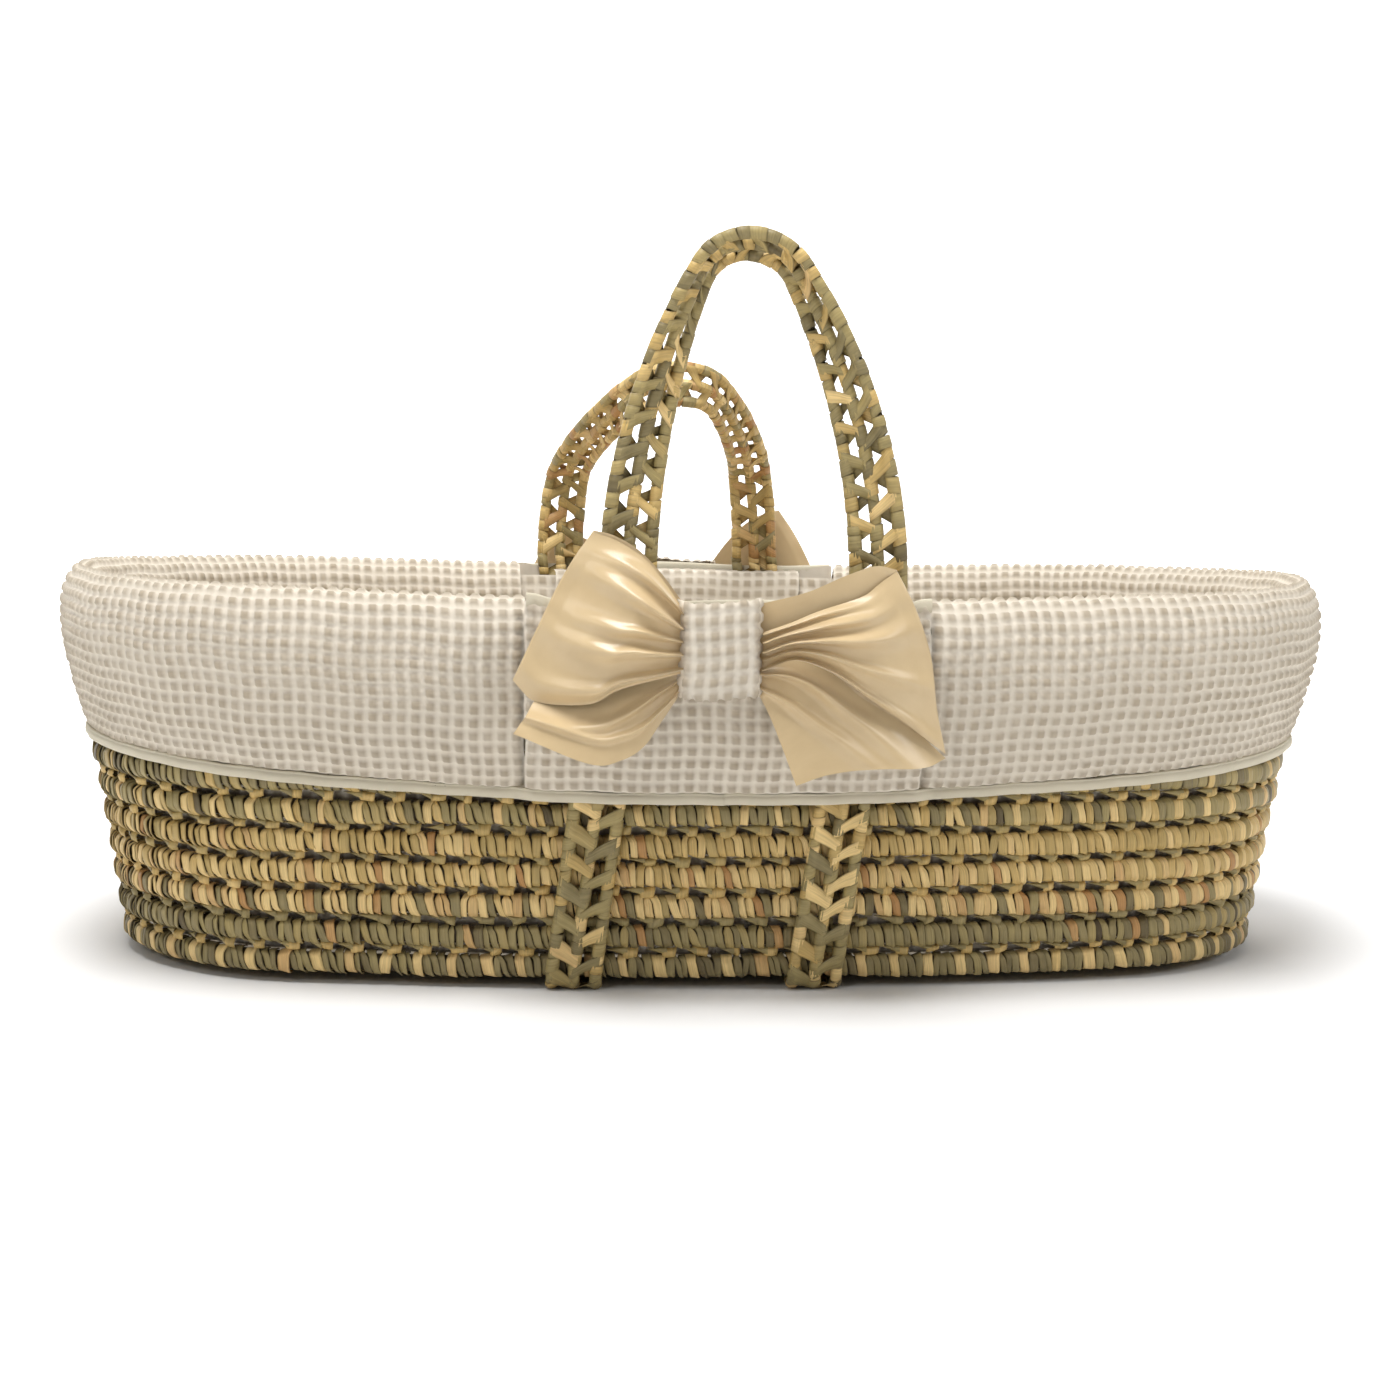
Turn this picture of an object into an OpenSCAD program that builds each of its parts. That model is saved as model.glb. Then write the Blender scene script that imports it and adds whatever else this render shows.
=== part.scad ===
// Moses basket: coiled palm-leaf wall on an oval plan, two strap handles,
// padded fabric dressing with a bow on each long side, and a loose mattress.
// Millimetres, +Z up, X along the length. The underside of the straps is z = 0.

/* [Basket] */

// Length of the reference oval that every ring is measured from
ref_l = 766; // [700:1:820]

// Width of the reference oval
ref_w = 334; // [300:1:380]

// Radius of the rounded ends of the reference oval
ref_end = 147; // [120:1:160]

// Outward lean of the wall, mm per mm of height
flare = 0.16; // [0.1:0.01:0.22]

// Height from one coil of the wall to the next
row_pitch = 19.5; // [17:0.1:22]

// Height of a wrapped coil
coil_h = 15.8; // [13:0.1:17]

// Thickness of a wrapped coil, measured through the wall
coil_t = 13; // [10:0.1:15]

/* [Handles] */

// Distance from the middle of the basket to the middle of a strap
strap_x = 75; // [65:1:85]

// Thickness of one wrapped cord of a handle
cord_d = 7.5; // [6:0.1:9]

// Sideways slant of the straps on the wall, mm per mm of height
slant = 0.118; // [0:0.002:0.16]

// Spacing of the three cords of a handle
cord_pitch = 13.5; // [10:0.1:15]

// Height of the handle's middle cord above its fold line
handle_h = 205; // [180:1:240]

// Height above the fold line at which the back handle flops over
flop_z = 64; // [40:1:90]

// Angle by which the back handle flops over, towards the inside
flop = 62; // [0:1:70]

/* [Dressing] */

// Height of the hem of the outer skirt
hem_z = 131; // [120:1:145]

// Half width of the panel that bridges the two straps
panel_x = 118; // [105:1:125]

/* [Mattress] */

// Thickness of the mattress
mattress_t = 35; // [25:1:45]

/* [Hidden] */

half_w = ref_w/2;
ea = ref_l/2 - ref_end;
side_r = (ea*ea + half_w*half_w - ref_end*ref_end) / (2*(half_w - ref_end));
side_c = side_r - half_w;
sa = atan(ea/side_c);
panel_a = asin(panel_x/side_r);
lean = atan(flare);
base_t = 5;
coil_z0 = 14;
coil_off0 = -6;
fold_y = 210;
fold_z = 250;
fold_r = cord_d/2 + 0.5;
band_w = 2*cord_pitch + cord_d + 1;
mid_z = 131;
slant_a = atan(slant);
top_x = slant*(fold_z - mid_z);
foot_x = -slant*mid_z;
bow_x = -8;
bow_z = 6;
$fn = 64;

palm = [0.66, 0.58, 0.42];
palm_dark = [0.56, 0.49, 0.36];
cream = [0.92, 0.88, 0.8];
satin = [0.8, 0.68, 0.5];

function coil_z(k) = coil_z0 + row_pitch*(k - 1);
function wall_off(z) = flare*z + coil_off0;
function side_drop(x) = side_r - sqrt(side_r*side_r - x*x);

// one rounded end, profile measured outward from the reference oval; trim
// leaves a hair of space, in degrees, where it meets the long sides
module end_arc(trim = 0) {
  translate([ea, 0, 0])
    rotate([0, 0, -(90 - sa) + trim])
      rotate_extrude(angle = 2*(90 - sa - trim))
        translate([ref_end, 0]) children();
}

// part of a long side, between two angles measured from the middle of that side
module side_arc(from, to) {
  translate([0, -side_c, 0])
    rotate([0, 0, 90 + from])
      rotate_extrude(angle = to - from)
        translate([side_r, 0]) children();
}

module whole_oval(trim = 0) {
  for (m = [0, 1]) rotate([0, 0, 180*m]) {
    end_arc(trim) children();
    side_arc(-sa, sa) children();
  }
}

module at_back() { rotate([0, 0, 180]) children(); }

module coil_shape(w, h) {
  polygon([for (a = [15:30:359]) [w/2*cos(a)/cos(15), h/2*sin(a)/cos(15)]]);
}

// plan outline of the oval, moved outward by off
function end_pts(off) = [for (a = [-(90 - sa):7.5:(90 - sa) + 0.1])
  [ea + (ref_end + off)*cos(a), (ref_end + off)*sin(a)]];
function side_pts(off) = [for (i = [1:11]) let (a = 90 - sa + 2*sa*i/12)
  [(side_r + off)*cos(a), -side_c + (side_r + off)*sin(a)]];
function half_pts(off) = concat(end_pts(off), side_pts(off));
function oval_pts(off) = concat(half_pts(off), [for (p = half_pts(off)) -p]);

// ---- palm basket ----

module base_coils() {
  pitch = 18.4;
  first = wall_off(coil_z0) - coil_t/2 - 8.4;
  color(palm) {
    for (k = [0:6])
      whole_oval(0.05) translate([first - pitch*k, 11]) coil_shape(16, 11);
    for (b = [[0, ea], [11.8, 184], [-11.8, 184], [23.6, 38], [-23.6, 38]])
      translate([-b[1], b[0], 11]) rotate([0, 90, 0]) cylinder(d = 10.9, h = 2*b[1]);
  }
}

module wall_coil(k) {
  z = coil_z(k);
  off = wall_off(z);
  tie_z = row_pitch - coil_h + 1.2;
  color(palm) {
    whole_oval() translate([off, z]) coil_shape(coil_t, coil_h);
    if (k > 1) for (m = [0, 1]) rotate([0, 0, 180*m]) {
      for (a = [-60, -20, 20, 60])
        translate([ea + (ref_end + off - 1.2)*cos(a), (ref_end + off - 1.2)*sin(a), z - coil_h/2 - tie_z + 1.6])
          cylinder(d = 5, h = tie_z + 1);
      for (x = [-200, -120, -40, 40, 120, 200])
        translate([x, half_w + off - 1.2 - side_drop(x), z - coil_h/2 - tie_z + 1.6])
          cylinder(d = 5, h = tie_z + 1);
    }
  }
}

module under_strap(x0) {
  color(palm_dark) translate([x0, 0, 0]) rotate([0, 0, atan(foot_x/177)]) {
    for (i = [-1, 0, 1])
      translate([cord_pitch*i - 4.6, -177, 0]) cube([9.2, 354, base_t]);
    for (y = [-168:24:168])
      translate([-cord_pitch, y - 3, 1]) cube([2*cord_pitch, 6, 3]);
  }
}

function strap_y(x, z) = half_w + 1.3 + cord_d/2 + flare*z - side_drop(x);

// three cords up the front wall, cut flat just under the fold of the handle
module wall_strap(x0) {
  color(palm_dark) difference() {
    union() {
      for (i = [-1, 0, 1]) {
        x = x0 + cord_pitch*i + foot_x;
        y1 = strap_y(x, 0);
        y2 = strap_y(x + slant*fold_z, fold_z);
        translate([x, -y1, 0]) rotate([atan((y2 - y1)/fold_z*cos(slant_a)), slant_a, 0])
          translate([0, 0, -2]) cylinder(d = cord_d, h = 256);
      }
      for (k = [0:12])
        translate([x0 - cord_pitch + slant*(18.4*k + 14 - mid_z),
            -(half_w + 3.4 + flare*(14 + 18.4*k)), 14 + 18.4*k])
          rotate([0, 90, 0]) cylinder(d = 5, h = 2*cord_pitch);
    }
    translate([x0 - 45, -240, -20]) cube([90, 120, 20 + base_t + 0.3]);
    translate([x0 - 30, -fold_y - 30, fold_z - fold_r - 0.3]) cube([90, 60, 40]);
  }
}

module cord_shape() {
  polygon([for (a = [18:36:359]) cord_d/2*[cos(a), sin(a)]]);
}

// the arch of one cord, drawn in the XY plane with its feet on y = 0
module arch(w0, h, r1, from_z, to_top) {
  zc = h - r1;
  r2 = (w0*w0 + zc*zc - r1*r1) / (2*(w0 - r1));
  a = asin(zc/(r2 - r1));
  a0 = asin(from_z/r2);
  for (m = [0, 1]) mirror([m, 0, 0]) {
    translate([w0 - r2, 0, 0]) rotate([0, 0, a0])
      rotate_extrude(angle = (to_top ? a : asin(flop_z/r2)) - a0)
        translate([r2, 0]) cord_shape();
  }
  if (to_top) translate([0, zc, 0]) rotate([0, 0, a])
    rotate_extrude(angle = 180 - 2*a) translate([r1, 0]) cord_shape();
}

// i = 1 outer cord, 0 middle cord, -1 inner cord
module handle_cord(i, flopped) {
  w0 = strap_x + cord_pitch*i;
  h = handle_h + 5.5*i;
  r1 = 33 + 5*i;
  twist = 3.2*i;
  zc = h - r1;
  r2 = (w0*w0 + zc*zc - r1*r1) / (2*(w0 - r1));
  if (flopped) {
    rotate([90, 0, 0]) arch(w0, h, r1, 0, false);
    translate([0, 0, flop_z]) rotate([1.4*twist - flop, 0, 0]) translate([0, 0, -flop_z])
      rotate([90, 0, 0]) arch(w0, h, r1, flop_z, true);
  } else {
    rotate([90 + twist, 0, 0]) arch(w0, h, r1, 0, true);
  }
}

// the leaf that joins the cords, as short bars across the legs
module handle_bars(rows) {
  for (m = [0, 1]) mirror([m, 0, 0]) for (k = [0:rows - 1]) {
    z = 12 + 19*k;
    sag = z*z/840;
    translate([strap_x - cord_pitch - sag, 0, z]) rotate([0, 90, 0])
      cylinder(d = 4.5, h = 2*cord_pitch - 0.04*z, $fn = 24);
  }
}

module handle(flopped) {
  color(palm) translate([top_x, -fold_y, fold_z]) {
    for (i = [-1, 0, 1]) handle_cord(i, flopped);
    handle_bars(flopped ? 3 : 5);
    if (flopped) for (s = [-1, 1]) translate([s*(strap_x - 5.5) - band_w/2 + 0.5, 0, flop_z])
      rotate([0, 90, 0]) cylinder(r = cord_d/2 + 0.4, h = band_w - 1);
    for (s = [-1, 1]) translate([s*strap_x - band_w/2, 0, 0]) rotate([0, 90, 0])
      cylinder(r = fold_r, h = band_w);
  }
}

// ---- dressing ----

module liner_floor() {
  color(cream) translate([0, 0, 17]) linear_extrude(height = 2)
    polygon(oval_pts(-10.4));
}

module liner_wall() {
  color(cream) whole_oval()
    polygon([[flare*19.4 - 16, 19.4], [flare*19.4 - 13, 19.4],
      [flare*236 - 13, 236], [flare*236 - 16, 236]]);
}

skirt_shape = [[13.2, 203], [13.4, 224], [17, 236.5], [25, 243.5], [34, 245.5], [42, 242],
  [48, 233], [51, 218], [50.5, 199], [47, 179], [41.5, 159], [33.5, 142.5], [25, 131.5],
  [21.9, hem_z], [38.2, 231.5], [35.6, 237.2], [30.6, 239], [24, 238.6], [21.2, 236.8], [16.1, 203]];

module skirt_half() {
  color(cream) {
    end_arc(0.05) polygon(skirt_shape);
    side_arc(-sa, -panel_a) polygon(skirt_shape);
    at_back() side_arc(panel_a, sa) polygon(skirt_shape);
  }
}

panel_shape = [[31, hem_z], [34.2, hem_z + 0.5], [41.5, 147], [48, 165], [51.5, 185], [53.2, 205],
  [53.8, 223], [52.4, 236.8], [48.1, 236.8], [flare*200 + 10.1, 200]];

module panel() {
  color(cream) side_arc(-panel_a + 0.01, panel_a - 0.01) polygon(panel_shape);
}

module panel_binding() {
  color(cream) side_arc(-3.9, 3.9)
    polygon([[48.4, 237.1], [52.6, 237.1], [52.9, 241], [51.9, 244], [50.4, 244.8], [49, 244], [48.3, 241]]);
}

hem_shape = [[0.6, -9], [3.2, -8.6], [3.9, -4.6], [3.4, -0.6], [0.9, -0.3]];

module hem_binding() {
  far = [for (p = hem_shape) [p[0] + 21.2, p[1] + hem_z]];
  near = [for (p = hem_shape) [p[0] + 30.2, p[1] + hem_z]];
  color(cream) for (m = [0, 1]) rotate([0, 0, 180*m]) {
    end_arc(0.05) polygon(far);
    side_arc(-sa, -panel_a) polygon(far);
    side_arc(panel_a, sa) polygon(far);
    side_arc(-panel_a, panel_a) polygon(near);
  }
}

module inner_flap() {
  color(cream) side_arc(-3.4, 3.4)
    polygon([[9, 172], [11.2, 172], [17.4, 212], [21, 236.3], [24.5, 238.6], [35, 240.4],
      [35, 243], [24, 241.6], [17.8, 236.4], [14.6, 212]]);
}

// ---- bows ----

module cloth(pts, y0, t) {
  translate([0, -y0, bow_z]) rotate([90, 0, 0]) linear_extrude(height = t) polygon(pts);
}

module bow_left_loop() {
  color(satin) difference() {
    cloth([[-32.5, 240], [-50, 264], [-75, 282], [-98, 244], [-122, 196], [-113, 181],
      [-76, 178], [-32.5, 200]], 227, 22);
    cloth([[-46, 236], [-75, 270], [-128, 270], [-128, 182], [-112, 187], [-76, 184], [-46, 202]], 229.5, 17);
    cloth([[-60, 240], [-60, 200], [-80, 196], [-80, 240]], 226, 1);
  }
}

module bow_right_loop() {
  color(satin) difference() {
    cloth([[16.5, 238], [48, 247], [73, 257], [91, 261], [103, 258], [111, 238], [120, 205],
      [122, 187], [122, 164], [118, 161], [40, 206], [16.5, 203]], 227, 22);
    cloth([[36, 236], [91, 253], [130, 250], [130, 170], [112, 172], [36, 212]], 229.5, 17);
  }
}

module bow_left_tail() {
  color(satin) cloth([[-32.5, 197], [-76, 175], [-114, 178], [-124, 163], [-74, 143], [-50, 154],
    [-32.5, 184]], 228, 5);
}

module bow_right_tail() {
  color(satin) cloth([[16.5, 186], [21, 173], [31, 149], [38, 134], [70, 139], [84, 141],
    [116, 141], [126, 147], [118, 158.5], [40, 203.5], [16.5, 200.5]], 228, 5);
}

module bow_knot() {
  color(cream) translate([bow_x, -222, bow_z]) {
    translate([-21.6, -30, 184]) cube([43.2, 30, 55]);
    for (s = [-1, 1]) translate([s*21.6, -15, 184])
      intersection() {
        cylinder(r = 15, h = 55);
        translate([s > 0 ? 0 : -1.9, -15, 0]) cube([1.9, 30, 55]);
      }
  }
}

// ---- mattress ----

module mattress_cover() {
  color(cream) difference() {
    translate([0, 0, 19.6]) linear_extrude(height = mattress_t)
      polygon(oval_pts(-17));
    translate([0, 0, 20.6]) linear_extrude(height = mattress_t - 2)
      polygon(oval_pts(-18));
  }
}

module mattress_foam() {
  color([0.95, 0.93, 0.85]) translate([0, 0, 20.7])
    linear_extrude(height = mattress_t - 2.2) polygon(oval_pts(-18.1));
}

base_coils();
wall_coil(1);  // wall_coil_01
wall_coil(2);  // wall_coil_02
wall_coil(3);  // wall_coil_03
wall_coil(4);  // wall_coil_04
wall_coil(5);  // wall_coil_05
wall_coil(6);  // wall_coil_06
wall_coil(7);  // wall_coil_07
wall_coil(8);  // wall_coil_08
wall_coil(9);  // wall_coil_09
wall_coil(10);  // wall_coil_10
wall_coil(11);  // wall_coil_11
wall_coil(12);  // wall_coil_12
under_strap(-strap_x);  // under_strap_left
under_strap(strap_x);  // under_strap_right
wall_strap(-strap_x);  // front_left_strap
wall_strap(strap_x);  // front_right_strap
at_back() wall_strap(strap_x);  // back_left_strap
at_back() wall_strap(-strap_x);  // back_right_strap
handle(false);  // front_handle
at_back() handle(true);  // back_handle
liner_floor();
liner_wall();
at_back() skirt_half();  // skirt_left
skirt_half();  // skirt_right
at_back() panel();  // front_panel
panel();  // back_panel
hem_binding();
at_back() panel_binding();  // front_panel_binding
panel_binding();  // back_panel_binding
at_back() inner_flap();  // front_inner_flap
inner_flap();  // back_inner_flap
bow_left_loop();  // front_bow_left_loop
bow_right_loop();  // front_bow_right_loop
bow_left_tail();  // front_bow_left_tail
bow_right_tail();  // front_bow_right_tail
bow_knot();  // front_bow_knot
at_back() bow_right_loop();  // back_bow_left_loop
at_back() bow_left_loop();  // back_bow_right_loop
at_back() bow_right_tail();  // back_bow_left_tail
at_back() bow_left_tail();  // back_bow_right_tail
at_back() bow_knot();  // back_bow_knot
mattress_cover();
mattress_foam();
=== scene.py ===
import math

import bpy
import numpy as np
from mathutils import Matrix, Vector


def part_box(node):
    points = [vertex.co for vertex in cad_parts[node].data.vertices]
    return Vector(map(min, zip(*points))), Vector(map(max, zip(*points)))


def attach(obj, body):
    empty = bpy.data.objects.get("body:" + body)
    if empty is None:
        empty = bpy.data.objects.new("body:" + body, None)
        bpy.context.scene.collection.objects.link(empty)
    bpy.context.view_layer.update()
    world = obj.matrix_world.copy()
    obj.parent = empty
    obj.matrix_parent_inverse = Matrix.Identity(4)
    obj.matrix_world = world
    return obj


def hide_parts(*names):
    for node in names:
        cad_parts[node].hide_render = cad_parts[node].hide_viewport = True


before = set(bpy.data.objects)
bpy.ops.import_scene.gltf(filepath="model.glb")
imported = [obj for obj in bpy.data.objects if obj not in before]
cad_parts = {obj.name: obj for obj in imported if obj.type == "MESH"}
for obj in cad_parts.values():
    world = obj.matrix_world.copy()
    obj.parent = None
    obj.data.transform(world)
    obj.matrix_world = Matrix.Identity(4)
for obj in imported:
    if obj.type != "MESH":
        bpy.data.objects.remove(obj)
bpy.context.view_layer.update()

# ------------------------------------------------------------------ the room
# A pale seamless floor, a large soft light above and in front, a weaker one
# from the right, and a camera a little left of the middle of the long side.


class Wire:
    """One value on its way through a material's nodes."""

    def __init__(self, tree, socket=None):
        self.tree, self.socket = tree, socket

    def node(self, kind, settings=None, sockets=None, out=0):
        made = self.tree.nodes.new("ShaderNode" + kind)
        for key, value in (settings or {}).items():
            if key == "stops":
                marks = made.color_ramp.elements
                marks[0].position, marks[0].color = value[0][0], (*value[0][1], 1)
                marks[1].position, marks[1].color = value[-1][0], (*value[-1][1], 1)
                for place, colour in value[1:-1]:
                    marks.new(place).color = (*colour, 1)
            else:
                setattr(made, key, value)
        for key, value in (sockets or {}).items():
            if isinstance(value, Wire):
                self.tree.links.new(value.socket, made.inputs[key])
            else:
                made.inputs[key].default_value = value
        return None if out is None else Wire(self.tree, made.outputs[out])

    def math(self, kind, a, b):
        return self.node("Math", {"operation": kind}, {0: a, 1: b})

    def __add__(self, other):
        return self.math("ADD", self, other)

    __radd__ = __add__

    def __sub__(self, other):
        return self.math("SUBTRACT", self, other)

    def __rsub__(self, other):
        return self.math("SUBTRACT", other, self)

    def __mul__(self, other):
        return self.math("MULTIPLY", self, other)

    __rmul__ = __mul__

    def __pow__(self, other):
        return self.math("POWER", self, other)


def paint(name, recipe):
    """A material whose Principled inputs come from recipe(wire)."""
    made = bpy.data.materials.new(name)
    made.use_nodes = True
    made.node_tree.nodes.clear()
    wire = Wire(made.node_tree)
    skin = wire.node("BsdfPrincipled", None, recipe(wire))
    wire.node("OutputMaterial", None, {"Surface": skin}, None)
    return made


def tint(r, g, b):
    """A colour as seen on screen, 0 to 255, as the shader wants it."""
    return tuple(((c / 255 + 0.055) / 1.055) ** 2.4 for c in (r, g, b))


def shape(name, points, faces, material):
    """A smooth mesh object from numpy points and four-cornered faces."""
    mesh = bpy.data.meshes.new(name)
    mesh.vertices.add(len(points))
    mesh.vertices.foreach_set("co", np.asarray(points, np.float32).ravel())
    mesh.loops.add(4 * len(faces))
    mesh.loops.foreach_set("vertex_index", np.asarray(faces, np.int32).ravel())
    mesh.polygons.add(len(faces))
    mesh.polygons.foreach_set("loop_start", np.arange(0, 4 * len(faces), 4, dtype=np.int32))
    mesh.update(calc_edges=True)
    mesh.polygons.foreach_set("use_smooth", np.ones(len(faces), bool))
    mesh.materials.append(material)
    made = bpy.data.objects.new(name, mesh)
    bpy.context.collection.objects.link(made)
    return made


def smooth(t):
    t = np.clip(t, 0, 1)
    return t * t * (3 - 2 * t)


sweep = np.linspace(0, math.pi / 2, 13)
rise = [(-6, 0), (-3, 0), (2.2, 0)] + [(2.2 + 1.6 * math.sin(a), 1.6 - 1.6 * math.cos(a)) for a in sweep[1:]]
rise += [(3.8, 3), (3.8, 6)]
across = np.linspace(-8, 8, 9)
ground = np.array([[(x, y, z) for x in across] for y, z in rise]).reshape(-1, 3)
grid = np.arange(len(ground)).reshape(len(rise), len(across))
tiles = np.stack([grid[:-1, :-1], grid[:-1, 1:], grid[1:, 1:], grid[1:, :-1]], -1).reshape(-1, 4)


def floor_recipe(w):
    """Pale all over, with a glow of its own away from the middle."""
    place = w.node("TexCoord", None, None, "Object")
    oval = w.node("VectorMath", {"operation": "MULTIPLY"}, {0: place, 1: (1.35, 0.65, 1.0)}, "Vector")
    far = w.node("VectorMath", {"operation": "LENGTH"}, {0: oval}, "Value")
    glow = w.node("ValToRGB", {"stops": [(0.26, (0, 0, 0)), (0.6, (0.8, 0.8, 0.8))]}, {0: far * 0.5})
    return {"Base Color": (0.8, 0.8, 0.8, 1), "Roughness": 0.8, "Specular IOR Level": 0.2,
            "Emission Color": glow, "Emission Strength": 1.0}


floor = shape("floor", ground, tiles, paint("pale_floor", floor_recipe))

air = bpy.data.worlds.new("air")
air.use_nodes = True
air.node_tree.nodes["Background"].inputs["Color"].default_value = (1, 1, 1, 1)
air.node_tree.nodes["Background"].inputs["Strength"].default_value = 0.2
bpy.context.scene.world = air
bpy.context.scene.view_settings.view_transform = "Standard"


def lamp(name, place, aim, width, power):
    light = bpy.data.lights.new(name, "AREA")
    light.shape, light.size, light.energy = "DISK", width, power
    made = bpy.data.objects.new(name, light)
    made.location = place
    made.rotation_euler = (Vector(aim) - Vector(place)).to_track_quat("-Z", "Y").to_euler()
    bpy.context.collection.objects.link(made)


lamp("top_light", (-0.3, -0.6, 2.4), (0, 0, 0.1), 1.2, 62)
lamp("front_light", (-1.4, -2.4, 1.7), (0, 0, 0.2), 0.7, 10)
lamp("right_light", (2.3, -1.1, 1.5), (0.2, 0, 0.2), 0.8, 13)
lamp("wall_light", (0, 2.2, 3.2), (0, 3.8, 1.6), 3.0, 60)

camera = bpy.data.objects.new("camera", bpy.data.cameras.new("camera"))
bpy.context.collection.objects.link(camera)
camera.data.lens = 60.39
turn, tip, roll = math.radians(-5), math.radians(6.16), math.radians(0.9)
back = Vector((math.sin(turn) * math.cos(tip), -math.cos(turn) * math.cos(tip), math.sin(tip)))
right = Vector((math.cos(turn), math.sin(turn), 0))
up = back.cross(right)
right, up = right * math.cos(roll) + up * math.sin(roll), up * math.cos(roll) - right * math.sin(roll)
camera.matrix_world = Matrix.Translation(Vector((-0.0018, 0, 0.1666)) + 1.6 * back) @ Matrix(
    (right, up, back)).transposed().to_4x4()
bpy.context.scene.camera = camera

# ------------------------------------------------------ the wall and the base
# Bundles of dry palm leaf, each wrapped round and round with a broad leaf strip
# and tied to the turn above by a pinched knot every 21 mm.


class Oval:
    """A plan outline of four arcs; s runs along it from the middle of the front, leftwards negative."""

    def __init__(self, half_l, half_w, end):
        self.ea, self.end = half_l - end, end
        self.side = (self.ea**2 + half_w**2 - end**2) / (2 * (half_w - end))
        self.centre = self.side - half_w
        self.sweep = math.atan2(self.ea, self.centre)
        self.flank = 2 * self.side * self.sweep
        self.length = 2 * (self.flank + end * (math.pi - 2 * self.sweep))

    def at(self, s, out=0.0, z=0.0):
        s, out, z = np.broadcast_arrays(s, out, z)
        s = np.mod(s + self.flank / 2, self.length)
        turned = s >= self.length / 2
        s = s - turned * self.length / 2
        a = s / self.side - self.sweep
        b = (s - self.flank) / self.end - math.pi / 2 + self.sweep
        flank = s < self.flank
        x = np.where(flank, (self.side + out) * np.sin(a), self.ea + (self.end + out) * np.cos(b))
        y = np.where(flank, self.centre - (self.side + out) * np.cos(a), (self.end + out) * np.sin(b))
        way = np.where(turned, -1, 1)
        return np.stack([x * way, y * way, z + 0 * x], -1)


def columns(*parts):
    """Arrays or numbers of any matching shapes side by side, as the last axis."""
    return np.stack(np.broadcast_arrays(*parts), -1)


class Bundle:
    """Patches of surface gathered into one piece; lay holds three numbers for the material at every point."""

    def __init__(self):
        self.points, self.lay, self.faces, self.count = [], [], [], 0

    def add(self, points, lay, ring=False):
        k, rows, cols = points.shape[:3]
        n = np.arange(k * rows * cols).reshape(k, rows, cols) + self.count
        if ring:
            n = np.concatenate([n, n[:, :, :1]], 2)
        faces = np.stack([n[:, :-1, :-1], n[:, :-1, 1:], n[:, 1:, 1:], n[:, 1:, :-1]], -1)
        self.points.append(points.reshape(-1, 3))
        self.lay.append(np.broadcast_to(lay, points.shape).reshape(-1, 3))
        self.faces.append(faces.reshape(-1, 4))
        self.count += k * rows * cols

    def make(self, name, material, slot, stands_for, body="basket", turned=False):
        points = np.concatenate(self.points)
        if turned:
            points = points * [-1, -1, 1]
        made = shape(name, points, np.concatenate(self.faces), material)
        lay = made.data.attributes.new("lay", "FLOAT_VECTOR", "POINT")
        lay.data.foreach_set("vector", np.concatenate(self.lay).astype(np.float32).ravel())
        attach(made, body)
        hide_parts(*stands_for)
        return made


def leaf(tones):
    """Dry leaf: lay is (place across the strip, place along it in metres, tone)."""

    def recipe(w):
        lay = w.node("Attribute", {"attribute_name": "lay"}, out="Vector")
        across, along, tone = [w.node("SeparateXYZ", None, {0: lay}, k) for k in "XYZ"]
        grain = w.node("CombineXYZ", None, {0: across * 4.5, 1: along * 45, 2: tone * 60})
        streak = w.node("TexNoise", None, {"Vector": grain, "Scale": 1.0, "Detail": 3.0}, "Fac")
        spot = w.node("CombineXYZ", None, {0: across * 0.8, 1: along * 120, 2: tone * 90})
        blotch = w.node("TexNoise", None, {"Vector": spot, "Scale": 1.0, "Detail": 2.0}, "Fac")
        # painted shade: each strip's colour is darkened towards both edges, standing in for the shade in the
        # gaps between strips, and partly for the strips' dried edges
        edge = (across * across) ** 6.0
        ramp = w.node("ValToRGB", {"stops": tones}, {0: tone + (blotch - 0.5) * 0.1})
        gain = (0.6 + streak * 0.84) * (1.0 - edge * 0.75)
        colour = w.node("VectorMath", {"operation": "SCALE"}, {0: ramp, "Scale": gain})
        bump = w.node("Bump", None, {"Height": streak, "Strength": 0.5, "Distance": 0.0006})
        return {"Base Color": colour, "Roughness": 0.42 + streak * 0.2, "Normal": bump,
                "Specular IOR Level": 0.42}

    return recipe


# the lowest stop, near-black brown, is used by the coil cores: painted shade for the deep gaps between
# strips, over the cores' own darker leaf
palm = paint("palm_leaf", leaf([
    (0.0, tint(50, 34, 16)), (0.2, tint(138, 124, 84)), (0.35, tint(158, 141, 92)),
    (0.55, tint(190, 160, 98)), (0.75, tint(224, 195, 134)), (0.95, tint(176, 132, 80))]))
OLIVE, SAGE, STRAW, CREAM, TAN = 0.2, 0.34, 0.55, 0.76, 0.93

plan, FLARE = Oval(0.383, 0.167, 0.147), 0.16
dice = np.random.default_rng(11)
HALF_T, HALF_H, TIE_PITCH = 0.0065, 0.0068, 0.0213
strip = np.array([-1, -0.9, -0.5, 0, 0.5, 0.9, 1])
swell = np.array([-0.7, 0.06, 0.1, 0.16, 0.2, 0.18, -0.7]) * 0.001


def drift(s, length, depth):
    """A slow wander along the turn, the same at both ends."""
    total = 0 * s
    for k in (2, 5, 8, 11, 14):
        total = total + np.sin(2 * math.pi * k * s / length + dice.uniform(0, 6.3)) / 5
    return total * depth


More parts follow.
